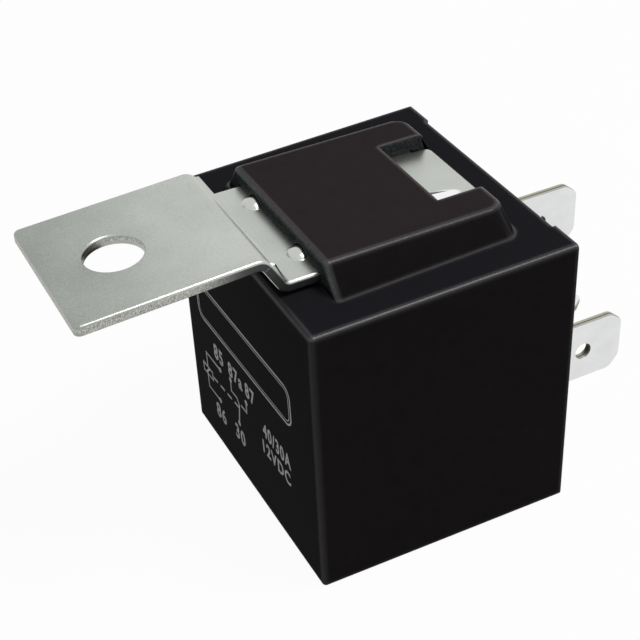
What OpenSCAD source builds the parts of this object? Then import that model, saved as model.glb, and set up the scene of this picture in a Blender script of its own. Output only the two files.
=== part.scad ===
// Five-blade changeover relay in a square cover, with a snap-in mounting bracket.
// The frame's origin is the centre of the cover's flat lower face.
// +X runs out along the blades, +Z up to the bracket, and the sizes are millimetres.

/* [Cover] */
// Length of the cover along the blades
cover_l = 25.2; // [24.8:0.1:25.6]
// Width and height of the cover at its closed end
cover_w = 28; // [27.8:0.1:28.4]
// Extra width of the cover at its open rim, from the mould's draft
rim_flare = 0.6; // [0.4:0.1:0.8]
// Thickness of the cover's walls
wall = 1.2; // [1:0.1:1.3]
// Radius of the cover's outer edges
edge_r = 0.4; // [0.3:0.05:0.8]

/* [Saddle] */
// Height of the saddle's top above the lower face
saddle_top = 30.85; // [30.8:0.05:31.2]
// Half width of the saddle at its top
saddle_half = 8.8; // [8.6:0.1:9.2]
// Half width of the window over the bracket's tail
window_half = 5.2; // [4:0.1:5.5]

/* [Bracket] */
// Thickness of the bracket's sheet
sheet = 0.95; // [0.9:0.05:1.2]
// Width of the bracket
bracket_w = 15.8; // [14:0.1:15.9]
// Reach of the tab from the middle of the cover
tab_reach = 29.4; // [27:0.1:32]
// Height of the tab's top face at its bend
tab_top = 32.25; // [31.5:0.05:32.5]
// Angle that the tab leans down towards its end
tab_lean = 2.7; // [0:0.1:3]
// Radius of the tab's outer corners
tab_corner = 0.6; // [0.4:0.1:2.5]
// Radius of the screw hole
hole_r = 2.55; // [2.2:0.05:3.3]
// Distance of the screw hole from the middle of the cover
hole_reach = 23.2; // [22:0.1:25]

/* [Blades] */
// Width of a blade
blade_w = 6.3; // [6:0.1:6.5]
// Thickness of a blade
blade_t = 0.8; // [0.7:0.05:0.8]
// Reach of the blade tips from the middle of the cover
tip_reach = 22.55; // [21:0.05:24]
// Radius of the detent hole in a blade
detent_r = 0.85; // [0.7:0.05:1.2]
// Distance of the coil blades from the middle plane
coil_pitch = 8.4; // [8.3:0.1:9]

/* [Magnet] */
// Angle between the released and the pulled-in armature
gap_deg = 3.5; // [2.5:0.1:3.5]
// Radius of the winding
winding_r = 7; // [6.4:0.1:7]
// Radius of the core
core_r = 3.25; // [2.8:0.05:3.4]

/* [Hidden] */
$fn = 48;
hull_fn = 24;
far = 60;

black = "#141313";
zinc = "#b9bdb9";
tin = "#d9dad6";
steel = "#8f9294";
copper = "#b5653a";
amber = "#c9b26a";
silver = "#e4e2dc";

// Cover: the walls stand on z = 0 and flare from the closed end to the rim.
closed_x = -cover_l / 2;
rim_x = cover_l / 2;
rim_rise = rim_flare * 0.92;
rim_notch = 0.3;
rim_notch_half = 10.7;
rim_notch_z = 26.3;
rim_land = 0.1;
inner_x = closed_x + wall;

// Base: a plate inside the rim, with bosses that reach the rim's plane.
base_in = 10;
base_out = rim_x - 0.3;
boss_wide = 8.4;
boss_thick = 2.8;
lug_x = 10.6;
lug_l = 0.9;
lug_w = 6;
lug_h = 0.4;
lug_slack = 0.05;
lug_root = 0.2;
lug_lip = 0.1;
rib = 1.2;
rib_l = 5;
pad_y = 5.4;
pad_w = 1.8;
pad_z = [13, 17.4];
sink = 0.1;

// Bracket: a neck in the saddle's pocket, an S-bend, and the tab.
neck_z = 28.45;
neck_top = neck_z + sheet;
neck_x = -11.15;
bend_r = 0.5;
bend_deg = 60;
bend_mid = bend_r + sheet / 2;
ramp_l = (tab_top - neck_top - 2 * bend_mid * (1 - cos(bend_deg))) / sin(bend_deg);
tab_x = neck_x - 2 * bend_mid * sin(bend_deg) - ramp_l * cos(bend_deg);
tab_bend = [tab_x, tab_top - sheet - bend_r];
hole_l = (hole_reach + tab_bend[0]) / cos(tab_lean);
shoulder_x = 7.6;
tail_x = 9.3;
tongue_half = window_half - 0.1;
tongue_corner = 0.8;
pip_y = 4.5;
pip_h = 0.55;
pip_half = 1.15;
pip_r = (pip_half * pip_half + pip_h * pip_h) / (2 * pip_h);
pip_x = [-8.75, -7.8];
dimple_r = 0.9;
dimple_h = 0.45;
barb_x = [4.4, 8.1];
barb_y = -3;
barb_h = 0.6;
barb_sunk = 1.4;
barb_inner = 0.55;
barb_hollow = 0.45;

// Saddle: side and end faces lean in towards the top.
saddle_x = [-8.6, 8.7];
saddle_r = 0.5;
saddle_corner = 1.5;
side_lean = 1.9 / 2.6;
end_lean = 0.6 / 2.6;
saddle_drop = 3.1;
roof_gap = 0.05;
pocket_slack = 0.1;
pip_slack = 0.08;
window_x = 4.2;
window_end = 9.7;

// Blades: heights of their middles, and the tip's chamfers.
top_blade_z = 21.05;
coil_blade_z = 11.4;
break_blade_z = 11.7;
make_blade_z = 3.6;
tip_chamfer = [1.3, 1.1];
tip_bevel = [0.9, 0.22];
detent_back = 4.4;
fold_r = 0.4;
riser_corner = 0.8;
tail_half = 1.2;
tail_end = 4.8;
shoulder_l = 0.8;
shoulder_extra = 0.6;

// Magnet: everything on the coil's axis, and the yoke round it.
coil_z = 15.6;
yoke_t = 1.5;
yoke_x = [-5.9, 8.7];
yoke_z = [10, 25];
yoke_half = 6.5;
yoke_bend = 1.8;
leg_x = yoke_x[1] - yoke_t;
pole_r = 4.5;
pole_t = 1.2;
stake_r = 1.9;
stake_head = 2.2;
stake_h = 0.4;
flange_r = 7.6;
flange_t = 0.8;
tube_t = 0.75;
ear_in = 5;
ear_out = 9.6;
ear_z = [9, 14];
foot_y = 5.9;
foot_top = 23;

// Leads: each end of the winding, and the bead of solder on a coil blade's tail.
lead_x = 5.5;
lead_r = 0.15;
lead_z = 12;
lead_l = 3;
lead_reach = coil_pitch - blade_t / 2;
bead_r = 0.85;
bead_at = [lead_x, lead_reach + 0.2, lead_z - 0.3];

// Armature and spring, given pulled in and swung about the hinge line to their released place.
hinge = [-5.95, 24.4];
armature_t = 1.4;
armature_half = 6;
armature_z = 9.9;
armature_taper = 2.2;
leaf_t = 0.3;
leaf_half = 4;
leaf_tip_half = 2.5;
leaf_end = 3.4;
leaf_taper = [10.5, 8];
leaf_r = 0.35;
leaf_leg = 3;
leaf_x = hinge[0] - armature_t;
fold_x = leaf_x + leaf_r;
fold_z = yoke_z[1] - leaf_r;
fold_k = hinge[1] + (fold_z - hinge[1] + (fold_x - hinge[0]) * sin(gap_deg)) / cos(gap_deg);
fold_at = hinge[0] + (fold_x - hinge[0]) * cos(gap_deg) + (fold_k - hinge[1]) * sin(gap_deg);
rivet_r = 0.8;
rivet_head = 1.25;
rivet_h = 0.55;
flap_foot = [1.15, 0.45];
yoke_foot = [1.1, 0.35];
rivet_y = 2.4;
rivet_z = 21.8;
rivet_x = 0.6;

// Contacts: domed heads on short shanks.
contact_z = 5;
contact_r = 1.5;
contact_h = 0.8;
dome_h = 0.25;
shank_r = 0.7;
touch_gap = 0.02;
make_head = 0.68;
break_head = 0.74;
make_face = leaf_x + contact_h + touch_gap;
make_x = make_face + make_head;
break_face = -9.66;
break_x = break_face - break_head;
riser_top = 6.8;
riser_half = 2.4;
runner_y = [3.8, 6.8];
runner_z = 6;
runner_slope = [1.2, 1.5];
runner_lip = 1;
anvil_y = [2.2, 3.3];

// Half width and top of the cover's outside at a place along X.
function half_at(x) = cover_w / 2 + rim_flare / 2 * (x - closed_x) / cover_l;
function top_at(x) = cover_w + rim_rise * (x - closed_x) / cover_l;

// A block that follows the cover's draft, inset from its outside.
module drafted(x0, x1, inset) {
    intersection() {
        translate([0, 0, -1]) linear_extrude(far) polygon([
            [x0, inset - half_at(x0)], [x1, inset - half_at(x1)],
            [x1, half_at(x1) - inset], [x0, half_at(x0) - inset]]);
        rotate([90, 0, 0]) linear_extrude(far, center = true) polygon([
            [x0, inset], [x1, inset], [x1, top_at(x1) - inset], [x0, top_at(x0) - inset]]);
    }
}

// A sector of a ring, for a folded sheet's bends.
module bend(r, t, from, to) {
    reach = 3 * (r + t);
    middle = (from + to) / 2;
    intersection() {
        difference() {
            circle(r + t);
            circle(r);
        }
        polygon([[0, 0], reach * [cos(from), sin(from)], reach * [cos(middle), sin(middle)],
            reach * [cos(to), sin(to)]]);
    }
}

// Sweeps an outline drawn in X and Z along Y.
module across(y0, y1) {
    translate([0, y1, 0]) rotate([90, 0, 0]) linear_extrude(y1 - y0) children();
}

// Sweeps an outline drawn in Y and Z along X.
module along(x0, x1) {
    translate([x0, 0, 0]) rotate([90, 0, 90]) linear_extrude(x1 - x0) children();
}

// Swings what is drawn pulled in to the released place.
module released() {
    translate([hinge[0], 0, hinge[1]]) rotate([0, gap_deg, 0])
        translate([-hinge[0], 0, -hinge[1]]) children();
}

// A rectangle from x0 to x1 with rounded corners at the x0 end.
module rounded_end(x0, x1, half, r) {
    translate([x0 + r, -half]) square([x1 - x0 - r, 2 * half]);
    translate([x0, r - half]) square([r, 2 * (half - r)]);
    for (side = [-1, 1]) translate([x0 + r, side * (half - r)]) circle(r);
}

// A rivet's low domed head, standing on z = 0.
module dome(r, h) {
    ball = (r * r + h * h) / (2 * h);
    intersection() {
        translate([0, 0, h - ball]) sphere(ball);
        cylinder(r = r, h = h);
    }
}

// ---- Cover ----

module cover_outside() {
    hull() {
        for (side = [-1, 1]) {
            for (z = [edge_r, top_at(closed_x) - edge_r])
                translate([closed_x + edge_r, side * (half_at(closed_x) - edge_r), z])
                    sphere(edge_r, $fn = hull_fn);
            for (z = [edge_r, top_at(rim_x) - edge_r])
                translate([rim_x - rim_land, side * (half_at(rim_x) - edge_r), z])
                    rotate([0, 90, 0]) cylinder(r = edge_r, h = rim_land, $fn = hull_fn);
        }
    }
}

// The boss over the pocket: round-edged, wider at its foot, with fuller corners at the blade end.
module saddle_block() {
    top = saddle_top - saddle_r;
    side = saddle_half - saddle_r * tan((90 - atan(side_lean)) / 2);
    end = saddle_x[1] - saddle_r * tan((90 - atan(end_lean)) / 2);
    round = saddle_corner - saddle_r;
    hull() for (m = [-1, 1], drop = [0, saddle_drop]) {
        translate([saddle_x[0] + saddle_r, m * (side + drop * side_lean), top - drop])
            sphere(saddle_r, $fn = hull_fn);
        translate([end - round + drop * end_lean, m * (side - round + drop * side_lean), top - drop])
            rotate_extrude($fn = hull_fn) translate([round, 0]) circle(saddle_r, $fn = hull_fn);
    }
}

// The bracket's pocket, its window, and the arched notches that its pips run into.
module pocket() {
    half = bracket_w / 2 + pocket_slack;
    translate([saddle_x[0] - 1, -half, neck_z])
        cube([shoulder_x + pocket_slack - saddle_x[0] + 1, 2 * half, sheet + roof_gap]);
    translate([shoulder_x, -window_half, neck_z])
        cube([window_end - shoulder_x, 2 * window_half, far]);
    translate([window_x, -window_half, neck_top])
        cube([window_end - window_x, 2 * window_half, far]);
    for (m = [-1, 1]) intersection() {
        translate([saddle_x[0] - 1, m * pip_y, neck_top + pip_h - pip_r]) rotate([0, 90, 0])
            cylinder(r = pip_r + pip_slack, h = pip_x[1] + pip_half + pip_slack - saddle_x[0] + 1);
        translate([-far / 2, -far / 2, neck_z]) cube(far);
    }
}

// Corner ribs that the base comes to rest on, as blocks that the cavity goes round.
module ribs() {
    half = half_at(0) - wall - rib;
    for (m = [0, 1]) mirror([0, m, 0]) {
        translate([base_in - rib_l, half, 0]) cube([rib_l, 2 * rib, wall + rib]);
        translate([base_in - rib_l, half, top_at(0) - wall - rib]) cube([rib_l, 2 * rib, wall + rib]);
    }
}

module cover() {
    color(black) difference() {
        union() {
            cover_outside();
            saddle_block();
        }
        difference() {
            drafted(inner_x, rim_x + 1, wall);
            ribs();
        }
        pocket();
        translate([rim_x - rim_notch, -rim_notch_half, rim_notch_z])
            cube([1, 2 * rim_notch_half, far]);
        for (m = [-1, 1]) snap_lug(m, lug_slack);
    }
}

// ---- Base ----

// A wedge on the base's side that clicks into the cover's wall.
module snap_lug(side, slack) {
    y = half_at(lug_x) - wall;
    translate([0, 0, cover_w / 2 - lug_w / 2 - slack]) linear_extrude(lug_w + 2 * slack) polygon([
        [lug_x - slack, side * (y - lug_root)], [lug_x - slack, side * (y + lug_lip + slack)],
        [lug_x + lug_l + slack, side * (y + lug_h + slack)],
        [lug_x + lug_l + slack, side * (y - lug_root)]]);
}

// A low block on the base's outer face, round a blade's slot.
module boss(y, z, wide, tall) {
    translate([base_out - sink, y - wide / 2, z - tall / 2]) cube([rim_x - base_out + sink, wide, tall]);
}

// A cut along X for a blade or a blade's tail.
module slot(y, z, wide, tall) {
    translate([0, y - wide / 2, z - tall / 2]) cube([far, wide, tall]);
}

module base() {
    color(black) difference() {
        union() {
            drafted(base_in, base_out, wall);
            for (m = [-1, 1]) {
                snap_lug(m, 0);
                boss(m * coil_pitch, coil_blade_z, boss_thick, boss_wide);
                translate([yoke_x[1], m * pad_y - pad_w / 2, pad_z[0]])
                    cube([base_in - yoke_x[1] + sink, pad_w, pad_z[1] - pad_z[0]]);
            }
            boss(0, top_blade_z, boss_thick, boss_wide);
            boss(0, break_blade_z, boss_wide, boss_thick);
            boss(0, make_blade_z, boss_wide, boss_thick);
        }
        for (m = [-1, 1]) slot(m * coil_pitch, coil_blade_z, blade_t, blade_w);
        slot(0, top_blade_z, blade_t, blade_w);
        slot(0, break_blade_z, blade_w, blade_t);
        slot(0, make_blade_z, blade_w, blade_t);
        translate([base_in - 1, -blade_w / 2, break_blade_z - blade_t / 2 - fold_r])
            cube([1 + fold_r, blade_w, fold_r + sink]);
    }
}

// ---- Bracket ----

// The strip's side view: flat neck, two bends with a ramp between, and the leaning tab.
module bracket_profile() {
    low = [neck_x, neck_top + bend_r];
    ray = [cos(90 - bend_deg), sin(90 - bend_deg)];
    translate([neck_x, neck_z]) square([tail_x - neck_x, sheet]);
    translate(low) bend(bend_r, sheet, 270 - bend_deg, 270);
    polygon([low - bend_r * ray, low - (bend_r + sheet) * ray,
        tab_bend + bend_r * ray, tab_bend + (bend_r + sheet) * ray]);
    translate(tab_bend) {
        bend(bend_r, sheet, 90 - bend_deg, 90 + tab_lean);
        rotate(tab_lean) translate([-tab_reach, bend_r]) square([tab_reach, sheet]);
    }
}

// The strip's outline from above: a wide tab and neck, and a narrower tongue at its tail.
module bracket_plan() {
    rounded_end(-tab_reach, shoulder_x, bracket_w / 2, tab_corner);
    mirror([1, 0]) rounded_end(-tail_x, 1 - shoulder_x, tongue_half, tongue_corner);
}

// A pip pressed up from below: two balls and a rod whose tops are at height z.
module pip(r, z) {
    for (x = pip_x) translate([x, 0, z - r]) sphere(r);
    translate([pip_x[0], 0, z - r]) rotate([0, 90, 0]) cylinder(r = r, h = pip_x[1] - pip_x[0]);
}

// The barb that catches behind the window's edge: the top of a cone that sinks into the tail.
module barb(shrink) {
    translate([barb_x[0], barb_y, neck_top - barb_sunk]) rotate([0, 90, 0])
        cylinder(r1 = barb_sunk + barb_h - shrink, r2 = barb_sunk - shrink, h = barb_x[1] - barb_x[0]);
}

module bracket() {
    color(zinc) difference() {
        union() {
            intersection() {
                across(-bracket_w / 2, bracket_w / 2) bracket_profile();
                translate([0, 0, neck_z - 1]) linear_extrude(far) bracket_plan();
            }
            intersection() {
                union() {
                    for (m = [-1, 1]) translate([0, m * pip_y, 0]) pip(pip_r, neck_top + pip_h);
                    barb(0);
                }
                translate([-far / 2, -far / 2, neck_top - 2 * sink]) cube(far);
            }
        }
        for (m = [-1, 1]) translate([0, m * pip_y, 0]) pip(dimple_r, neck_z + dimple_h);
        intersection() {
            barb(barb_inner);
            translate([-far / 2, -far / 2, neck_z - far]) cube([far, far, far + barb_hollow]);
        }
        translate([tab_bend[0], 0, tab_bend[1]]) rotate([0, -tab_lean, 0])
            translate([-hole_l, 0, 0]) cylinder(r = hole_r, h = 3 * sheet);
    }
}

// ---- Blades ----

// A blade lying flat along +X, from where it leaves the base to its chamfered tip.
module blade(from) {
    w = blade_w / 2;
    t = blade_t / 2;
    difference() {
        intersection() {
            translate([0, 0, -t]) linear_extrude(blade_t) polygon([
                [from, -w], [tip_reach - tip_chamfer[0], -w], [tip_reach, tip_chamfer[1] - w],
                [tip_reach, w - tip_chamfer[1]], [tip_reach - tip_chamfer[0], w], [from, w]]);
            across(-w, w) polygon([
                [from, -t], [tip_reach - tip_bevel[0], -t], [tip_reach, tip_bevel[1] - t],
                [tip_reach, t - tip_bevel[1]], [tip_reach - tip_bevel[0], t], [from, t]]);
        }
        translate([tip_reach - detent_back, 0, -1]) cylinder(r = detent_r, h = 2);
    }
}

module terminal_30() {
    bottom = top_blade_z - blade_w / 2;
    fold = yoke_x[1] + blade_t + fold_r;
    color(tin) {
        translate([0, 0, top_blade_z]) rotate([90, 0, 0]) blade(fold);
        translate([0, 0, bottom]) linear_extrude(foot_top - bottom) {
            translate([fold, blade_t / 2 + fold_r]) bend(fold_r, blade_t, 180, 270);
            translate([yoke_x[1], blade_t / 2 + fold_r])
                square([blade_t, foot_y - blade_t / 2 - fold_r]);
        }
    }
}

// A coil blade, with shoulders behind the base and a narrow tail for the winding's end.
module coil_terminal(side) {
    shoulder = blade_w + 2 * shoulder_extra;
    color(tin) translate([0, side * coil_pitch, coil_blade_z]) {
        rotate([90, 0, 0]) blade(base_in);
        translate([base_in - shoulder_l, -blade_t / 2, -shoulder / 2])
            cube([shoulder_l, blade_t, shoulder]);
        translate([tail_end, -blade_t / 2, -tail_half])
            cube([base_in - shoulder_l - tail_end, blade_t, 2 * tail_half]);
    }
}

module terminal_85() { coil_terminal(1); }

module terminal_86() { coil_terminal(-1); }

// The make blade runs in under the coil and folds up in front of the moving contact.
module terminal_87() {
    lower = make_blade_z - blade_t / 2;
    shoulder = blade_w + 2 * shoulder_extra;
    fold = [make_x + blade_t + fold_r, lower + blade_t + fold_r];
    color(tin) difference() {
        union() {
            translate([0, 0, make_blade_z]) blade(base_in);
            translate([base_in - shoulder_l, -shoulder / 2, lower]) cube([shoulder_l, shoulder, blade_t]);
            translate([fold[0], -riser_half, lower])
                cube([base_in - shoulder_l - fold[0], 2 * riser_half, blade_t]);
            across(-riser_half, riser_half) translate(fold) bend(fold_r, blade_t, 180, 270);
            along(make_x, make_x + blade_t) translate([0, fold[1]]) rotate(90)
                mirror([1, 0]) rounded_end(fold[1] - riser_top, 0, riser_half, riser_corner);
        }
        translate([make_x - 1, 0, contact_z]) rotate([0, 90, 0]) cylinder(r = shank_r, h = 3);
    }
}

// The break blade folds down behind the base, runs past the coil, and folds down again at the far wall.
module terminal_87a() {
    lower = break_blade_z - blade_t / 2;
    drop = [base_in + fold_r, lower - fold_r];
    turn = [base_in - blade_t - fold_r, runner_z + blade_t + fold_r];
    front = [break_x + fold_r, runner_z - fold_r];
    half = blade_w / 2;
    foot = make_blade_z - blade_t / 2;
    color(tin) difference() {
        union() {
            translate([0, 0, break_blade_z]) blade(drop[0]);
            across(-half, half) translate(drop) bend(fold_r, blade_t, 90, 180);
            along(base_in - blade_t, base_in) polygon([
                [-half, drop[1]], [half, drop[1]], [runner_y[1], drop[1] - runner_slope[1]],
                [runner_y[1], turn[1]], [runner_y[0], turn[1]], [runner_y[0], turn[1] + runner_slope[0]],
                [-half, drop[1] - runner_lip]]);
            across(runner_y[0], runner_y[1]) {
                translate(turn) bend(fold_r, blade_t, 270, 360);
                translate([front[0], runner_z]) square([turn[0] - front[0], blade_t]);
                translate(front) bend(fold_r, blade_t, 90, 180);
            }
            along(break_x - blade_t, break_x) polygon([
                [runner_y[1], front[1]], [runner_y[1], foot], [-anvil_y[0], foot],
                [-anvil_y[0], riser_top], [anvil_y[1], riser_top], [anvil_y[1], front[1]]]);
        }
        translate([break_x - 2, 0, contact_z]) rotate([0, 90, 0]) cylinder(r = shank_r, h = 4);
    }
}

// ---- Magnet ----

module yoke() {
    inner = yoke_bend - yoke_t;
    at = [yoke_x[1] - yoke_bend, yoke_z[1] - yoke_bend];
    color(steel) difference() {
        across(-yoke_half, yoke_half) {
            translate([yoke_x[0], yoke_z[1] - yoke_t]) square([at[0] - yoke_x[0], yoke_t]);
            translate(at) bend(inner, yoke_t, 0, 90);
            translate([leg_x, yoke_z[0]]) square([yoke_t, at[1] - yoke_z[0]]);
        }
        translate([leg_x - 1, 0, coil_z]) rotate([0, 90, 0]) cylinder(r = stake_r, h = yoke_t + 2);
        for (m = [-1, 1]) translate([rivet_x, m * rivet_y, yoke_z[1] - yoke_t - 1])
            cylinder(r = rivet_r, h = yoke_t + 2);
    }
}

module core() {
    color(steel) translate([yoke_x[0], 0, coil_z]) rotate([0, 90, 0]) {
        cylinder(r = pole_r, h = pole_t);
        translate([0, 0, pole_t]) cylinder(r = core_r, h = leg_x - yoke_x[0] - pole_t);
        cylinder(r = stake_r, h = yoke_x[1] - yoke_x[0]);
        translate([0, 0, yoke_x[1] - yoke_x[0]]) dome(stake_head, stake_h);
    }
}

// The bobbin: two flanges, the tube between them, and ears that hold the coil blades' tails.
module bobbin() {
    front = yoke_x[0] + pole_t;
    color(amber) difference() {
        union() {
            translate([front, 0, coil_z]) rotate([0, 90, 0]) {
                cylinder(r = flange_r, h = flange_t);
                cylinder(r = core_r + tube_t, h = leg_x - front);
                translate([0, 0, leg_x - front - flange_t]) cylinder(r = flange_r, h = flange_t);
            }
            for (m = [0, 1]) mirror([0, m, 0])
                translate([leg_x - flange_t, ear_in, ear_z[0]])
                    cube([flange_t, ear_out - ear_in, ear_z[1] - ear_z[0]]);
        }
        translate([front - 1, 0, coil_z]) rotate([0, 90, 0]) cylinder(r = core_r, h = leg_x - front + 2);
        for (m = [-1, 1]) slot(m * coil_pitch, coil_blade_z, blade_t, 2 * tail_half);
    }
}

module winding() {
    front = yoke_x[0] + pole_t + flange_t;
    color(copper) translate([front, 0, coil_z]) rotate([0, 90, 0]) difference() {
        cylinder(r = winding_r, h = leg_x - flange_t - front);
        translate([0, 0, -1]) cylinder(r = core_r + tube_t, h = leg_x - front + 2);
    }
}

// The winding's end, from the outer turns to a coil blade's tail.
module lead_wire() {
    intersection() {
        translate([lead_x, 0, coil_z]) rotate([atan2(lead_z - coil_z, lead_reach), 0, 0])
            translate([0, winding_r, 0]) rotate([-90, 0, 0]) cylinder(r = lead_r, h = lead_l);
        cube([far, lead_reach, far]);
    }
}

// Half a bead on the blade's inner face, round the wire.
module solder() {
    difference() {
        intersection() {
            translate(bead_at) sphere(bead_r);
            cube([far, lead_reach, far]);
        }
        lead_wire();
    }
}

module coil_lead_85() { color(copper) lead_wire(); }

module coil_lead_86() { color(copper) mirror([0, 1, 0]) lead_wire(); }

module solder_85() { color(silver) solder(); }

module solder_86() { color(silver) mirror([0, 1, 0]) solder(); }

// ---- Armature ----

module armature() {
    h = armature_half;
    foot = armature_z;
    color(steel) released() difference() {
        along(leaf_x, hinge[0]) polygon([
            [-h, hinge[1]], [-h, foot + armature_taper], [armature_taper - h, foot],
            [h - armature_taper, foot], [h, foot + armature_taper], [h, hinge[1]]]);
        for (m = [-1, 1]) translate([leaf_x - 1, m * rivet_y, rivet_z]) rotate([0, 90, 0])
            cylinder(r = rivet_r, h = armature_t + 2);
    }
}

// One strip: a leg flat on the yoke, a tight fold round the hinge, and a leaf down to the contact.
module spring_profile() {
    ray = [-cos(gap_deg), sin(gap_deg)];
    down = (fold_k - leaf_end) * [-sin(gap_deg), -cos(gap_deg)];
    fold = [fold_at, fold_z];
    translate([fold_at, yoke_z[1]]) square([leaf_leg - fold_at, leaf_t]);
    translate(fold) bend(leaf_r, leaf_t, 90, 180 - gap_deg);
    polygon([fold + leaf_r * ray, fold + (leaf_r + leaf_t) * ray,
        fold + (leaf_r + leaf_t) * ray + down, fold + leaf_r * ray + down]);
}

// What is cut from each side of the leaf, to narrow it towards the contact.
module leaf_side() {
    along(leaf_x - 1, leaf_x + 1) polygon([
        [leaf_half + 1, leaf_taper[0]], [leaf_half, leaf_taper[0]], [leaf_tip_half, leaf_taper[1]],
        [leaf_tip_half, leaf_end + 1], [leaf_tip_half - 1, leaf_end], [leaf_tip_half - 1, leaf_end - 1],
        [leaf_half + 1, leaf_end - 1]]);
}

module contact_spring() {
    color(silver) difference() {
        across(-leaf_half, leaf_half) spring_profile();
        released() {
            for (m = [0, 1]) mirror([0, m, 0]) leaf_side();
            translate([leaf_x - 1, 0, contact_z]) rotate([0, 90, 0]) cylinder(r = shank_r, h = 2);
            for (m = [-1, 1]) translate([leaf_x - 1, m * rivet_y, rivet_z]) rotate([0, 90, 0])
                cylinder(r = rivet_r, h = 2);
        }
        for (m = [-1, 1]) translate([rivet_x, m * rivet_y, yoke_z[1] - 1]) cylinder(r = rivet_r, h = 2);
    }
}

// A rivet through a stack from z = 0 to z = grip, with a dome on each end.
// foot is the lower dome's radius and height.
module rivet(grip, foot) {
    cylinder(r = rivet_r, h = grip);
    translate([0, 0, grip]) dome(rivet_head, rivet_h);
    mirror([0, 0, 1]) dome(foot[0], foot[1]);
}

module armature_rivets() {
    color(silver) released() for (m = [-1, 1])
        translate([hinge[0], m * rivet_y, rivet_z]) rotate([0, -90, 0])
            rivet(armature_t + leaf_t, flap_foot);
}

module yoke_rivets() {
    color(silver) for (m = [-1, 1])
        translate([rivet_x, m * rivet_y, yoke_z[1] - yoke_t]) rivet(yoke_t + leaf_t, yoke_foot);
}

// A contact's domed head, standing on z = 0.
module contact_head(h) {
    cylinder(r = contact_r, h = h - dome_h);
    translate([0, 0, h - dome_h]) dome(contact_r, dome_h);
}

module moving_contact() {
    color(silver) released() translate([leaf_x, 0, contact_z]) rotate([0, 90, 0]) {
        contact_head(contact_h);
        mirror([0, 0, 1]) cylinder(r = shank_r, h = leaf_t);
        translate([0, 0, -leaf_t]) mirror([0, 0, 1]) contact_head(contact_h);
    }
}

// A fixed contact: a flat head from its face back to the blade, and a shank through the blade.
module fixed_contact(head) {
    cylinder(r = contact_r, h = head);
    cylinder(r = shank_r, h = head + blade_t);
}

module make_contact() {
    color(silver) translate([make_face, 0, contact_z]) rotate([0, 90, 0]) fixed_contact(make_x - make_face);
}

module break_contact() {
    color(silver) translate([break_face, 0, contact_z]) rotate([0, -90, 0])
        fixed_contact(break_face - break_x);
}

cover();
base();
bracket();
terminal_30();
terminal_85();
terminal_86();
terminal_87();
terminal_87a();
yoke();
core();
bobbin();
winding();
coil_lead_85();
coil_lead_86();
solder_85();
solder_86();
armature();
contact_spring();
armature_rivets();
yoke_rivets();
moving_contact();
make_contact();
break_contact();
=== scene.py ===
from math import cos, pi, radians, sin

import bmesh
import bpy
from mathutils import Matrix, Vector


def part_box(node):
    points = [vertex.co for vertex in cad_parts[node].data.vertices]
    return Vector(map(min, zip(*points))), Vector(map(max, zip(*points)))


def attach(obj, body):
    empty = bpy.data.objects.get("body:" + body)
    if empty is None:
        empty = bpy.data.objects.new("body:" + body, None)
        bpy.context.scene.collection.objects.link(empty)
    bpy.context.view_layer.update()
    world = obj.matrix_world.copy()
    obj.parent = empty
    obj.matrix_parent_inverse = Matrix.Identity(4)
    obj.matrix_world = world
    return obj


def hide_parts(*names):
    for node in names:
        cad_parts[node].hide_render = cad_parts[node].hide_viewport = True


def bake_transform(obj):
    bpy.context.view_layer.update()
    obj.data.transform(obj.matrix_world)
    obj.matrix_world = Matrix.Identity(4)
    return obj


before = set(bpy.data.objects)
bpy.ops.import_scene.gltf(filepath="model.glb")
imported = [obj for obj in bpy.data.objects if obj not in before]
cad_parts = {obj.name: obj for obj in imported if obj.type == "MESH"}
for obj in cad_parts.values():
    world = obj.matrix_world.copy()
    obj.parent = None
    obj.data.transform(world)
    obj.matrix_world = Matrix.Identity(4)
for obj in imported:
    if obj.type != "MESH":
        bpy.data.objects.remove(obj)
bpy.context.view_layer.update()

# ---- Bobbin ----
# One moulding in natural glass-filled nylon: a tube, two flanges, and ears that grip the tails of
# the coil blades. It is wound before the core goes through it, and keeps the flow marks of its mould.
mm = 0.001


class Level:
    """A number or colour that varies over a surface; an expression on it adds its Math nodes."""

    def __init__(self, finish, socket):
        self.finish, self.socket = finish, socket

    def maths(self, operation, *values):
        return self.finish.node("Math", {"operation": operation}, dict(enumerate(values)))

    def __add__(self, other):
        return self.maths("ADD", self, other)

    def __sub__(self, other):
        return self.maths("SUBTRACT", self, other)

    def __rsub__(self, other):
        return self.maths("SUBTRACT", other, self)

    def __mul__(self, other):
        return self.maths("MULTIPLY", self, other)

    def __gt__(self, other):
        return self.maths("GREATER_THAN", self, other)

    def __abs__(self):
        return self.maths("ABSOLUTE", self)

    __radd__, __rmul__ = __add__, __mul__


class Nodes:
    """The node tree of a material or a world, and the one method that its nodes come from."""

    def __init__(self, owner):
        owner.use_nodes = True
        self.tree = owner.node_tree

    def node(self, kind, settings, sockets, result=0):
        """Adds a node, sets it up, then gives its sockets their values or links."""
        made = self.tree.nodes.new("ShaderNode" + kind)
        for name, value in settings.items():
            setattr(made, name, value)
        for key, value in sockets.items():
            if isinstance(value, Level):
                self.tree.links.new(value.socket, made.inputs[key])
            else:
                made.inputs[key].default_value = value
        return Level(self, made.outputs[result])


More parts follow.
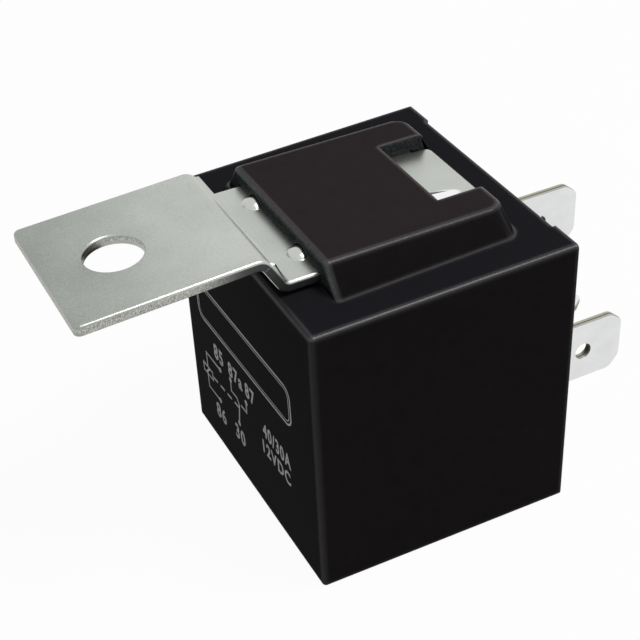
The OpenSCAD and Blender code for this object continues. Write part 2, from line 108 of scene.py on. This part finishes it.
class Finish(Nodes):
    """A material, and the few patterns that the relay's surfaces share."""

    def __init__(self, name, constants):
        self.material = bpy.data.materials.new(name)
        super().__init__(self.material)
        self.shader = self.tree.nodes["Principled BSDF"]
        for socket, value in constants.items():
            self.shader.inputs[socket].default_value = value

    def drive(self, socket, level):
        """Links a level to a socket of the material's shader."""
        self.tree.links.new(level.socket, self.shader.inputs[socket])

    def grain(self, size, stretch=(1, 1, 1), detail=2.0):
        """Noise with grains of this size, drawn out along an axis whose stretch is below 1."""
        place = self.node("TexCoord", {}, {}, "Object")
        place = self.node("Mapping", {}, {"Vector": place, "Scale": stretch})
        return self.node("TexNoise", {}, {"Vector": place, "Scale": 1 / size, "Detail": detail})

    def fade(self, level, low, high):
        """0 below low and 1 above high, with a smooth step between."""
        return self.node("MapRange", {"interpolation_type": "SMOOTHSTEP"},
                         {"Value": level, "From Min": low, "From Max": high})

    def tint(self, level, low, high):
        """A blend from the low colour to the high one."""
        return self.node("Mix", {"data_type": "RGBA"}, {0: level, 6: low, 7: high}, 2)

    def edges(self, radius):
        """1 on an outer or inner edge, falling to 0 at this distance from it."""
        rounded = self.node("Bevel", {"samples": 4}, {"Radius": radius}, "Normal")
        flat = self.node("NewGeometry", {}, {}, "Normal")
        along = self.node("VectorMath", {"operation": "DOT_PRODUCT"}, {0: rounded, 1: flat}, "Value")
        return self.fade(1 - along, 0.001, 0.03)

    def facing(self, axis):
        """How far a surface faces along an axis: 0 across it, and 1 along it either way."""
        normal = self.node("TexCoord", {}, {}, "Normal")
        return abs(self.node("VectorMath", {"operation": "DOT_PRODUCT"}, {0: normal, 1: axis}, "Value"))

    def bump(self, height, depth, strength=1.0, softness=0):
        """Fine relief; a softness above 0 also blurs the turn of the surface over its edges."""
        relief = {"Height": height, "Distance": depth, "Strength": strength}
        if softness:
            relief["Normal"] = self.node("Bevel", {"samples": 8}, {"Radius": softness}, "Normal")
        self.drive("Normal", self.node("Bump", {}, relief))


nylon = Finish("bobbin_nylon", {"IOR": 1.53, "Specular IOR Level": 0.4})
flow = nylon.grain(2.4 * mm, (1, 0.5, 0.5), 4)
nylon.drive("Base Color", nylon.tint(flow, (0.50, 0.40, 0.24, 1), (0.68, 0.58, 0.40, 1)))
nylon.drive("Roughness", 0.38 + 0.2 * flow)
nylon.bump(nylon.grain(0.2 * mm), 0.01 * mm, 0.4)


def finish_node(name, finish):
    """Gives a carried-over CAD node its finish."""
    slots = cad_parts[name].material_slots
    for slot in slots:
        slot.link = "OBJECT"
        slot.material = finish.material


finish_node("bobbin", nylon)

# ---- Winding and its leads ----
# Enamelled copper wire, laid turn by turn in layers between the bobbin's flanges.
# Its two ends leave the outer layer and are soldered to the coil blades' tails.
coil_z, tube_r, wire_r = 15.6 * mm, 4.0 * mm, 0.14 * mm
turn_steps, bend_steps = 48, 4

enamel = Finish("enamelled_copper", {"Metallic": 0.85, "Coat Roughness": 0.12})
layers = enamel.grain(1.1 * mm, (1, 0.25, 0.25), 3)
enamel.drive("Base Color", enamel.tint(layers, (0.36, 0.105, 0.035, 1), (0.60, 0.22, 0.085, 1)))
enamel.drive("Roughness", 0.24 + 0.16 * layers)
enamel.drive("Coat Weight", 0.5 + 0.4 * layers)
enamel.bump(enamel.grain(0.3 * mm), 0.006 * mm, 0.5)


def finished_piece(name, shape, finish, body="relay", sharp_deg=34):
    """Makes a bmesh a smooth-shaded piece with crisp sharp edges, and has it ride on its body."""
    mesh = bpy.data.meshes.new(name)
    shape.to_mesh(mesh)
    shape.free()
    if "custom_normal" in mesh.attributes:
        mesh.attributes.remove(mesh.attributes["custom_normal"])
    mesh.polygons.foreach_set("use_smooth", [True] * len(mesh.polygons))
    mesh.set_sharp_from_angle(angle=radians(sharp_deg))
    mesh.materials.clear()
    mesh.materials.append(finish.material)
    piece = bpy.data.objects.new(name, mesh)
    bpy.context.scene.collection.objects.link(piece)
    piece.modifiers.new("even_shading", "WEIGHTED_NORMAL").keep_sharp = True
    if body:
        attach(piece, body)
    return piece


low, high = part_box("winding")
outer_r = (high.z - low.z) / 2
turns = round((high.x - low.x) / (2 * wire_r))
pitch = (high.x - low.x) / turns
shape = bmesh.new()
ridge = [shape.verts.new((low.x, 0, coil_z + tube_r))]
for turn in range(turns):
    for step in range(bend_steps):
        swing = pi * (step + 0.5) / bend_steps
        ridge.append(shape.verts.new((low.x + (turn + 0.5) * pitch - pitch / 2 * cos(swing), 0,
                                      coil_z + outer_r - wire_r * (1 - sin(swing)))))
ridge.append(shape.verts.new((high.x, 0, coil_z + tube_r)))
outline = [shape.edges.new(pair) for pair in zip(ridge, ridge[1:] + ridge[:1])]
bmesh.ops.spin(shape, geom=ridge + outline, cent=(0, 0, coil_z), axis=(1, 0, 0), angle=2 * pi,
               steps=turn_steps, use_merge=True)
bmesh.ops.recalc_face_normals(shape, faces=shape.faces)
winding = finished_piece("wound_coil", shape, enamel, sharp_deg=60)
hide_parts("winding")
for lead in ("coil_lead_85", "coil_lead_86"):
    finish_node(lead, enamel)

# ---- Core and yoke ----
# The core is turned from soft iron, the yoke is folded from a soft-iron strip, and the core is staked
# to the yoke. Both carry a thin dull plating, rubbed bright at the corners.
iron = Finish("soft_iron", {"Metallic": 1.0})
rolled = iron.grain(0.5 * mm, (0.2, 1, 1), 4)
bare_corner = iron.edges(0.25 * mm)
iron_wear = rolled * 0.7 + bare_corner * 0.5
iron.drive("Base Color", iron.tint(iron_wear, (0.30, 0.30, 0.29, 1), (0.56, 0.56, 0.54, 1)))
iron.drive("Roughness", 0.46 - 0.14 * bare_corner + 0.1 * rolled)
iron.bump(rolled, 0.012 * mm, 0.5)
finish_node("core", iron)
finish_node("yoke", iron)

# ---- Base ----
# A moulded black plate with a boss round each blade; it is drier and more matt than the cover.
# The blades are pressed through its slots, and each one's number stands up from the plate beside it.
base_out = 12.3 * mm
plate_edge_r = 0.08 * mm
letter_gap = 1.2
number_rise = 0.12 * mm
number_h = 1.7 * mm
digit_w = 0.72 * number_h
base_numbers = {"30": (4.2, 21.05), "85": (8.4, 5.4), "86": (-8.4, 5.4), "87a": (0, 15.0), "87": (0, 6.5)}

plate_black = Finish("base_plastic", {"IOR": 1.5, "Specular IOR Level": 0.16})
clouds = plate_black.grain(3.5 * mm, detail=3)
plate_black.drive("Base Color", plate_black.tint(clouds, (0.0075, 0.0072, 0.0074, 1),
                                                 (0.014, 0.0135, 0.0138, 1)))
plate_black.drive("Roughness", 0.5 + 0.14 * clouds)
plate_black.bump(plate_black.grain(0.16 * mm, detail=3), 0.012 * mm, 0.5)


def copy_of(node):
    """A CAD node's mesh, with its doubles merged and the triangles of each flat face rejoined."""
    shape = bmesh.new()
    shape.from_mesh(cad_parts[node].data)
    bmesh.ops.remove_doubles(shape, verts=shape.verts, dist=0.001 * mm)
    bmesh.ops.dissolve_limit(shape, angle_limit=radians(0.6), verts=shape.verts, edges=shape.edges)
    return shape


def soften(shape, radius, segments, chosen=lambda edge: True, from_deg=50):
    """Rounds the chosen outer edges that turn by more than an angle."""
    edges = [e for e in shape.edges if len(e.link_faces) == 2
             and e.calc_face_angle_signed() > radians(from_deg) and chosen(e)]
    bmesh.ops.bevel(shape, geom=edges, offset=radius, offset_type="OFFSET", affect="EDGES",
                    segments=segments, profile=0.5, material=-1, clamp_overlap=False)


shape = copy_of("base")
soften(shape, plate_edge_r, 2, lambda edge: min(v.co.x for v in edge.verts) > base_out - 0.01 * mm)
base = finished_piece("base_plate", shape, plate_black)
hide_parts("base")


def words(text, left, right, low, high, depth, face, weight=0.0):
    """A word as a solid that fills a box on a face; the face is the matrix that lays X and Y on it."""
    curve = bpy.data.curves.new(text, "FONT")
    curve.body, curve.extrude, curve.offset, curve.space_character = text, depth, weight, letter_gap
    lettering = bpy.data.objects.new(text, curve)
    bpy.context.scene.collection.objects.link(lettering)
    bpy.context.view_layer.update()
    mesh = bpy.data.meshes.new_from_object(lettering)
    bpy.data.objects.remove(lettering)
    shape = bmesh.new()
    shape.from_mesh(mesh)
    bpy.data.meshes.remove(mesh)
    bmesh.ops.remove_doubles(shape, verts=shape.verts, dist=1e-6)
    across, up = [v.co.x for v in shape.verts], [v.co.y for v in shape.verts]
    tall = (high - low) / (max(up) - min(up))
    wide = (right - left) / (max(across) - min(across))
    bmesh.ops.translate(shape, verts=shape.verts, vec=(-min(across), -min(up), 0))
    bmesh.ops.scale(shape, verts=shape.verts, vec=(wide, tall, 1))
    bmesh.ops.translate(shape, verts=shape.verts, vec=(left, low, 0))
    bmesh.ops.transform(shape, verts=shape.verts, matrix=face)
    return shape


def joined(shapes):
    """Several bmeshes as one."""
    whole = bmesh.new()
    for shape in shapes:
        mesh = bpy.data.meshes.new("part")
        shape.to_mesh(mesh)
        shape.free()
        whole.from_mesh(mesh)
        bpy.data.meshes.remove(mesh)
    return whole


blade_face = Matrix(((0, 0, 1, base_out), (1, 0, 0, 0), (0, 1, 0, 0), (0, 0, 0, 1)))
marks = []
for text, (y, z) in base_numbers.items():
    half_w, half_h = digit_w * len(text) / 2, number_h / 2
    marks.append(words(text, y * mm - half_w, y * mm + half_w, z * mm - half_h, z * mm + half_h,
                       number_rise, blade_face))
numbers = finished_piece("base_numbers", joined(marks), plate_black)

# ---- Blades ----
# Five blades stamped from brass strip and tinned, with chamfered tips and a detent hole.
# The strip's grain runs along them, and their cut edges are a little rounded and duller than the
# faces. Each is given the axis that its faces look along, and its middle on that axis in mm.
upright, flat = (0, 1, 0), (0, 0, 1)
tip_from, tip_round, blade_edge_r = 19.5 * mm, 0.35 * mm, 0.07 * mm
blades = {"30": (upright, 0), "85": (upright, 8.4), "86": (upright, -8.4),
          "87": (flat, 3.6), "87a": (flat, 11.7)}


def tinned_strip(name, across, middle):
    """Tinned brass: satin faces, and darker cut edges with a seam where the strip is folded double."""
    strip = Finish(name, {"Metallic": 1.0})
    drawn = strip.grain(0.12 * mm, (0.04, 1, 1), 3)
    haze = strip.grain(1.6 * mm, detail=4)
    cut = 1 - strip.fade(strip.facing(across), 0.25, 0.6)
    rim = strip.edges(0.1 * mm)
    place = strip.node("TexCoord", {}, {}, "Object")
    through = strip.node("VectorMath", {"operation": "DOT_PRODUCT"}, {0: place, 1: across}, "Value")
    seam = 1 - strip.fade(abs(through - middle * mm), 0.04 * mm, 0.12 * mm)
    face = strip.tint(haze * 0.7 + drawn * 0.3, (0.66, 0.663, 0.665, 1), (0.86, 0.863, 0.865, 1))
    edge = strip.tint(seam * 0.8 + drawn * 0.2, (0.44, 0.43, 0.37, 1), (0.09, 0.085, 0.065, 1))
    strip.drive("Base Color", strip.tint(cut, face, edge))
    strip.drive("Roughness", 0.27 + 0.14 * haze + 0.08 * drawn + 0.12 * cut - 0.1 * rim)
    strip.bump(drawn * 0.6 + haze * 0.4 - seam * cut, 0.008 * mm, 0.5)
    return strip


def round_tip(shape, across):
    """Rounds the four corners that the chamfers leave at a blade's tip."""
    corners = [e for e in shape.edges if len(e.link_faces) == 2 and min(v.co.x for v in e.verts) > tip_from
               and abs((e.verts[0].co - e.verts[1].co).normalized().dot(Vector(across))) > 0.99
               and 30 < abs(e.calc_face_angle()) * 180 / pi < 60]
    bmesh.ops.bevel(shape, geom=corners, offset=tip_round, offset_type="OFFSET", affect="EDGES", segments=4,
                    profile=0.5, material=-1)


for number, (across, middle) in blades.items():
    shape = copy_of("terminal_" + number)
    round_tip(shape, across)
    soften(shape, blade_edge_r, 2, from_deg=60)
    blade = finished_piece("blade_" + number, shape, tinned_strip("tin_plate_" + number, across, middle))
    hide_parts("terminal_" + number)

# ---- Solder on the coil blades ----
# A bright lead-free bead over each lead's end, with a slightly frosted skin.
# It is laid by hand, and it fixes the lead to the inner face of the blade's tail.
beads = Finish("solder", {"Metallic": 1.0})
frost = beads.grain(0.25 * mm, detail=4)
beads.drive("Base Color", beads.tint(frost, (0.52, 0.53, 0.54, 1), (0.74, 0.75, 0.76, 1)))
beads.drive("Roughness", 0.18 + 0.25 * frost)
beads.bump(frost, 0.01 * mm, 0.5)
for node in ("solder_85", "solder_86"):
    finish_node(node, beads)

# ---- Armature, spring and rivets ----
# The armature is a soft-iron flap, riveted to a bent bronze strip that is its hinge, its return
# spring and its contact arm. The strip's other end is riveted to the yoke, so only its fold bends.
finish_node("armature", iron)

bronze = Finish("spring_bronze", {"Metallic": 1.0})
strip_grain = bronze.grain(0.14 * mm, (1, 1, 0.05), 3)
bronze_edge = bronze.edges(0.1 * mm)
bronze.drive("Base Color", bronze.tint(strip_grain, (0.50, 0.27, 0.15, 1), (0.72, 0.43, 0.26, 1)))
bronze.drive("Roughness", 0.3 + 0.12 * strip_grain - 0.08 * bronze_edge)
bronze.bump(strip_grain, 0.006 * mm, 0.4)

spring = finished_piece("spring_strip", copy_of("contact_spring"), bronze, body=None)
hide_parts("contact_spring")
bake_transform(spring)

rivet_steel = Finish("rivet_steel", {"Metallic": 1.0})
struck = rivet_steel.grain(0.35 * mm, detail=4)
rivet_steel.drive("Base Color", rivet_steel.tint(struck, (0.40, 0.40, 0.38, 1), (0.62, 0.62, 0.59, 1)))
rivet_steel.drive("Roughness", 0.3 + 0.2 * struck)
rivet_steel.bump(struck, 0.012 * mm, 0.5)
finish_node("armature_rivets", rivet_steel)
finish_node("yoke_rivets", rivet_steel)

# ---- Contacts ----
# Silver-alloy buttons on short shanks, headed over in the spring and in the two fixed blades.
# They are cold headed from wire, which leaves a fine uneven grain, and the alloy stays bright.
silver = Finish("contact_silver", {"Metallic": 1.0})
headed = silver.grain(0.2 * mm, detail=3)
silver.drive("Base Color", silver.tint(headed, (0.70, 0.68, 0.63, 1), (0.86, 0.84, 0.80, 1)))
silver.drive("Roughness", 0.2 + 0.14 * headed)
silver.bump(headed, 0.005 * mm, 0.4)
for node in ("moving_contact", "make_contact", "break_contact"):
    finish_node(node, silver)

# ---- Cover ----
# One black moulding, drawn over everything and snapped to the base, with a saddle on top that holds
# the bracket. Its skin is a fine satin, with soft clouds from the mould, painted light on the faces that
# look up (warmer on the saddle's roof), corners polished by handling, and scuffs where the bracket was
# pushed in, partly a painted reflection of the bracket's metal.
mouth_x, neck_z, saddle_z = -7.9 * mm, 28.6 * mm, 30.7 * mm
window_wall_y, window_from = 4.9 * mm, 4.0 * mm
shell_edge_r, corner_glow = 0.1 * mm, 0.6 * mm

shell_black = Finish("cover_plastic", {"IOR": 1.5, "Specular IOR Level": 0.004,
                                       "Coat Roughness": 0.38, "Coat IOR": 1.6})
mottle = shell_black.grain(1.3 * mm, detail=4)
sweep = shell_black.grain(9 * mm, detail=2)
corner = shell_black.edges(corner_glow)
place = shell_black.node("TexCoord", {}, {}, "Object")
along, across, height = (shell_black.node("SeparateXYZ", {}, {0: place}, axis) for axis in "XYZ")
outward = shell_black.node("TexCoord", {}, {}, "Normal")
facing_x, facing_y, facing_z = (shell_black.node("SeparateXYZ", {}, {0: outward}, axis) for axis in "XYZ")
# Painted light: faces that look up are lightened, bluish on the cover's top and warmer on the saddle's
# roof.
top_sheen_mask = shell_black.fade(facing_z, 0.75, 0.98)
saddle_roof = shell_black.fade(height, saddle_z - 0.1 * mm, saddle_z + 0.1 * mm)
black = shell_black.tint(mottle * 0.6 + sweep * 0.4, (0.0062, 0.0056, 0.0064, 1),
                         (0.0135, 0.0115, 0.0122, 1))
painted_top_sheen = shell_black.tint(saddle_roof, (0.0125, 0.0125, 0.0152, 1), (0.0250, 0.0205, 0.0212, 1))
# Green-grey scuffs on the mouth and the window's wall: partly rubbing, partly a painted reflection of the
# bracket's metal.
mouth = shell_black.fade(mouth_x - along, -0.4 * mm, 0) * shell_black.fade(0 - facing_x, 0.3, 0.6)
window_wall = (shell_black.fade(across, window_wall_y - 0.3 * mm, window_wall_y)
               * shell_black.fade(0 - facing_y, 0.5, 0.8) * (along > window_from))
scratches = shell_black.fade(shell_black.grain(0.18 * mm, detail=4), 0.3, 0.7)
scuffs_and_metal_reflection = (mouth + window_wall) * (height > neck_z) * scratches
skin = shell_black.tint(top_sheen_mask * (0.7 + 0.6 * mottle), black, painted_top_sheen)
shell_black.drive("Base Color", shell_black.tint(scuffs_and_metal_reflection, skin, (0.042, 0.049, 0.051, 1)))
shell_black.drive("Roughness", 0.5 + 0.08 * sweep + 0.06 * mottle - 0.1 * corner)
shell_black.drive("Coat Weight", corner * (0.3 + 0.7 * shell_black.fade(facing_z, 0.05, 0.5)))
shell_black.bump(shell_black.grain(0.14 * mm, detail=3), 0.008 * mm, 0.35, softness=corner_glow)

shape = copy_of("cover")
soften(shape, shell_edge_r, 2, from_deg=55)
cover = finished_piece("moulded_cover", shape, shell_black, sharp_deg=30)
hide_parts("cover")

# ---- Print on the cover's closed end ----
# Pale grey pad printing, about a hundredth of a millimetre thick: a plain framed field, and below it
# the changeover diagram, the blades' numbers and the rating. The ink is thin in places, and the pad
# came down a little turned. Places are in mm across from the cover's middle plane and up.
print_x, print_turn = -12.6 * mm, radians(1.5)
ink_h, stroke_half, dot_r = 0.012 * mm, 0.13 * mm, 0.3 * mm
print_weight = 0.025
closed_end = (Matrix(((0, 0, -1, print_x), (-1, 0, 0, 0), (0, 1, 0, 0), (0, 0, 0, 1)))
              @ Matrix.Rotation(print_turn, 4, "Z"))

ink = Finish("print_ink", {"Specular IOR Level": 0.25})
ink_hold = ink.grain(0.22 * mm, detail=3)
ink.drive("Base Color", ink.tint(ink.fade(ink_hold, 0.28, 0.42), (0.20, 0.195, 0.20, 1),
                                 (0.44, 0.43, 0.435, 1)))
ink.drive("Roughness", 0.5 + 0.15 * ink_hold)
ink.bump(ink_hold, 0.004 * mm, 0.5)

printed_words = [
    ("85", -7.7, -5.6, 11.6, 13.4), ("87a", -4.35, -1.25, 11.65, 13.4), ("87", -0.55, 1.5, 11.7, 13.45),
    ("86", -8.8, -6.5, 3.8, 5.6), ("30", -4.1, -1.9, 4.35, 6.15),
    ("40/30A", 2.95, 8.7, 9.5, 11.15), ("12VDC", 2.6, 8.4, 7.35, 8.9),
]
strokes = [
    [(-6.64, 10.7), (-10.0, 10.7), (-10.0, 8.9)],
    [(-10.2, 7.95), (-10.2, 6.4), (-7.49, 6.4)],
    [(-11.1, 8.9), (-8.9, 8.9), (-8.9, 7.95), (-11.1, 7.95), (-11.1, 8.9)],
    [(-10.5, 7.95), (-9.6, 8.9)],
    [(-2.94, 6.75), (-2.45, 9.3), (-2.9, 9.85), (-4.15, 9.85), (-4.12, 11.2)],
    [(-0.65, 10.8), (-0.75, 9.55), (-1.9, 9.55)],
]
link_from, link_to, link_dashes = (-8.6, 8.45), (-2.7, 8.9), 4
dots = [(-6.64, 10.7), (-7.49, 6.4), (-4.12, 11.2), (-0.65, 10.8), (-2.94, 6.75)]
arc_steps = 5
field_lines = [(-10.6, 9.6, 14.9, 19.1, 1.1, 0.1), (-10.25, 9.25, 15.25, 18.75, 0.8, 0.05)]


def stroke(points, half):
    """A line of ink through the points, as a flat strip with round joints and ends."""
    curve = bpy.data.curves.new("stroke", "CURVE")
    curve.dimensions, curve.bevel_depth, curve.use_fill_caps = "3D", half, True
    line = curve.splines.new("POLY")
    line.points.add(len(points) - 1)
    for point, (across, up) in zip(line.points, points):
        point.co = (across * mm, up * mm, 0, 1)
    drawn_line = bpy.data.objects.new("stroke", curve)
    bpy.context.scene.collection.objects.link(drawn_line)
    bpy.context.view_layer.update()
    mesh = bpy.data.meshes.new_from_object(drawn_line)
    bpy.data.objects.remove(drawn_line)
    shape = bmesh.new()
    shape.from_mesh(mesh)
    bpy.data.meshes.remove(mesh)
    for across, up in points:
        bmesh.ops.create_uvsphere(shape, u_segments=12, v_segments=6, radius=half,
                                  matrix=Matrix.Translation((across * mm, up * mm, 0)))
    bmesh.ops.scale(shape, verts=shape.verts, vec=(1, 1, ink_h / half))
    bmesh.ops.transform(shape, verts=shape.verts, matrix=closed_end)
    return shape


def rounded_frame(left, right, low, high, corner_r):
    """Points round a frame with quarter-round corners."""
    points = []
    near, far, foot, top = left + corner_r, right - corner_r, low + corner_r, high - corner_r
    for (x, y), start_deg in (((far, top), 0), ((near, top), 90), ((near, foot), 180), ((far, foot), 270)):
        for step in range(arc_steps + 1):
            swing = radians(start_deg + 90 * step / arc_steps)
            points.append((x + corner_r * cos(swing), y + corner_r * sin(swing)))
    return points + points[:1]


inked = [words(text, left * mm, right * mm, low * mm, high * mm, ink_h, closed_end, print_weight)
         for text, left, right, low, high in printed_words]
inked += [stroke(points, stroke_half) for points in strokes]
dash_run = (Vector(link_to) - Vector(link_from)) / (link_dashes * 2 - 1)
for dash in range(link_dashes):
    dash_from = Vector(link_from) + dash_run * 2 * dash
    inked.append(stroke([tuple(dash_from), tuple(dash_from + dash_run)], stroke_half))
inked += [stroke([(x, y), (x + 0.001, y)], dot_r) for x, y in dots]  # a dot is a very short stroke
inked += [stroke(rounded_frame(*sides, corner_r), half * mm) for *sides, corner_r, half in field_lines]
printing = finished_piece("end_printing", joined(inked), ink)

# ---- Bracket ----
# Stamped from steel strip and zinc plated: the punch rolls the upper edges over and leaves the cut
# sides streaked. It is pushed into the saddle's pocket until the barb on its tail springs up behind
# the window's edge. The pips and the barb are pressed and smoother, and carry a painted highlight;
# the barb also carries a painted dark streak for the wall it mirrors. The cut sides darken towards
# the bend as painted shade, and the top face darkens towards the free end as a painted reflection.
neck_top, tab_end, tab_root = 29.4 * mm, -29.4 * mm, -14.0 * mm
bend_x, bend_shade_run = -14.5 * mm, 5.5 * mm
barb_from, barb_tip, barb_dark_streak_y, dark_streak_flare = 4.2 * mm, 6.95 * mm, -2.68 * mm, 0.13
rolled_r, under_r = 0.26 * mm, 0.08 * mm

plated = Finish("zinc_plate", {"Metallic": 1.0})
place = plated.node("TexCoord", {}, {}, "Object")
along, across, height = (plated.node("SeparateXYZ", {}, {0: place}, axis) for axis in "XYZ")
rolling = plated.grain(0.07 * mm, (0.3, 1, 1), 3)
spangle = plated.grain(0.14 * mm, detail=4)
cloud = plated.grain(5 * mm, detail=2)
cut_side = 1 - plated.fade(plated.facing((0, 0, 1)), 0.03, 0.15)
streaks = plated.grain(0.07 * mm, (1, 1, 0.3), 4)
bright_rim = plated.edges(0.22 * mm)
# The pips and the barb: their roughness is lower, and their colour takes a painted highlight below.
pressed_glint = (plated.fade(height, neck_top + 0.02 * mm, neck_top + 0.1 * mm)
           * plated.fade(along, -10.2 * mm, -10.0 * mm))
on_barb = along > barb_from
# Painted reflection: a dark wedge on the barb, for the dark wall that its flank mirrors.
painted_dark_streak = ((barb_tip - along) * dark_streak_flare > abs(across - barb_dark_streak_y)) * on_barb
# Painted reflection: the top face is lighter towards the tab's root and darker towards its free end, as the
# tab isn't quite flat.
lighter_toward_root = plated.fade(along, tab_end, tab_root)
face_level = lighter_toward_root * 0.6 + plated.fade(spangle, 0.3, 0.7) * 0.25 + rolling * 0.15 + cloud * 0.5 - 0.3
face_tone = plated.tint(face_level, (0.28, 0.30, 0.275, 1), (0.56, 0.58, 0.545, 1))
tab_side = plated.tint(plated.fade(streaks, 0.42, 0.58), (0.27, 0.272, 0.25, 1), (0.56, 0.565, 0.52, 1))
# Painted shade: the cut sides darken towards the bend, down to a near-black grey.
side_tone_with_bend_shade = plated.tint(plated.fade(along, bend_x - bend_shade_run, bend_x), tab_side, (0.10, 0.104, 0.10, 1))
strip_tone = plated.tint(cut_side, face_tone, side_tone_with_bend_shade)
# Painted highlight: the pips are lightened and the barb is made nearly white.
strip_tone = plated.tint(pressed_glint * 0.5, strip_tone, (0.56, 0.57, 0.55, 1))
strip_tone = plated.tint(pressed_glint * on_barb, strip_tone, (0.88, 0.89, 0.88, 1))
plated.drive("Base Color", plated.tint(painted_dark_streak, strip_tone, (0.03, 0.032, 0.03, 1)))
plated.drive("Roughness", 0.26 + 0.14 * spangle + 0.12 * cut_side - 0.1 * bright_rim - 0.16 * pressed_glint)
plated.bump(rolling * 0.3 + spangle * 0.5 + streaks * cut_side, 0.014 * mm, 0.5, softness=0.16 * mm)


def is_cut(face):
    """Whether a face is part of the strip's sheared outline."""
    return abs(face.normal.z) < 0.1 and (abs(face.normal.y) > 0.1 or abs(face.normal.x) > 0.95)


def on_outline(up):
    """Picks the edges between the outline and the upper face, or the lower face where up is -1."""
    def chosen(edge):
        cut = [is_cut(f) for f in edge.link_faces]
        other = [f for f in edge.link_faces if not is_cut(f)]
        return any(cut) and len(other) == 1 and other[0].normal.z * up > 0.2
    return chosen


shape = copy_of("bracket")
soften(shape, rolled_r, 4, on_outline(1))
soften(shape, under_r, 2, on_outline(-1))
bracket = finished_piece("plated_bracket", shape, plated, sharp_deg=38)
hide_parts("bracket")

# ---- Floor and light ----
# A plain pale floor in an even pale room, under one wide soft lamp ahead of the relay and above it.
# What the camera or the metal sees of them is near white, and the floor keeps the relay's shadow.
floor_half, floor_gap = 3.0, 0.02 * mm
floor_glow, room_light = 0.955, 0.3
lamp_place, lamp_size, lamp_watts = Vector((0.20, -0.20, 0.62)), 0.28, 3.0
lamp_aim = Vector((0, 0, 0.015))


def seen(nodes):
    """1 for what the camera sees straight, in a reflection or through a clear thing, and 0 for light."""
    rays = [nodes.node("LightPath", {}, {}, ray)
            for ray in ("Is Camera Ray", "Is Glossy Ray", "Is Transmission Ray")]
    total = rays[0] + rays[1] + rays[2]
    return total.maths("MINIMUM", total, 1.0)


pale = Finish("pale_floor", {"Base Color": (0.8, 0.8, 0.8, 1), "Roughness": 0.9, "Specular IOR Level": 0.0})
glow = pale.node("Emission", {}, {"Color": (1, 1, 1, 1), "Strength": 1.0})
painted = Level(pale, pale.shader.outputs[0])
shown = pale.node("MixShader", {}, {0: seen(pale) * floor_glow, 1: painted, 2: glow})
pale.tree.links.new(shown.socket, pale.tree.nodes["Material Output"].inputs["Surface"])
shape = bmesh.new()
bmesh.ops.create_grid(shape, x_segments=1, y_segments=1, size=floor_half,
                      matrix=Matrix.Translation((0, 0, -floor_gap)))
mesh = bpy.data.meshes.new("floor")
shape.to_mesh(mesh)
shape.free()
mesh.materials.append(pale.material)
floor = bpy.data.objects.new("floor", mesh)
bpy.context.scene.collection.objects.link(floor)

world = bpy.data.worlds.new("room")
bpy.context.scene.world = world
room = Nodes(world)
strength = room.node("Math", {"operation": "MULTIPLY_ADD"},
                     {0: seen(room), 1: 1.0 - room_light, 2: room_light})
room.tree.links.new(strength.socket, room.tree.nodes["Background"].inputs["Strength"])
room.tree.nodes["Background"].inputs["Color"].default_value = (1, 1, 1, 1)

lamp = bpy.data.lights.new("overhead_lamp", "AREA")
lamp.shape, lamp.size, lamp.energy = "SQUARE", lamp_size, lamp_watts
holder = bpy.data.objects.new("overhead_lamp", lamp)
bpy.context.scene.collection.objects.link(holder)
holder.location = lamp_place
holder.rotation_euler = (lamp_aim - lamp_place).to_track_quat("-Z", "Y").to_euler()

# ---- Camera ----
# It looks down at the relay from near by, past its closed end, with the tab on the left and the blades
# behind on the right. The shift is where the frame's origin lies to the camera: right, up and back.
azimuth, elevation, roll = -0.440601, 0.640003, -0.051635
shift_mm = Vector((5.238822, -13.000274, -145.859889))
sensor_mm, lens_mm = 36.0, 82.4965
near_limit = 0.01

back = Vector((sin(azimuth) * cos(elevation), -cos(azimuth) * cos(elevation), sin(elevation)))
right = Vector((cos(azimuth), sin(azimuth), 0))
up = back.cross(right)
right, up = right * cos(roll) + up * sin(roll), up * cos(roll) - right * sin(roll)
turn = Matrix((right, up, back)).transposed()
camera = bpy.data.objects.new("camera", bpy.data.cameras.new("camera"))
bpy.context.scene.collection.objects.link(camera)
camera.data.sensor_width, camera.data.lens = sensor_mm, lens_mm
camera.data.clip_start = near_limit
camera.matrix_world = Matrix.Translation(-(turn @ shift_mm) * mm) @ turn.to_4x4()
bpy.context.scene.camera = camera
bpy.context.scene.view_settings.view_transform = "Standard"
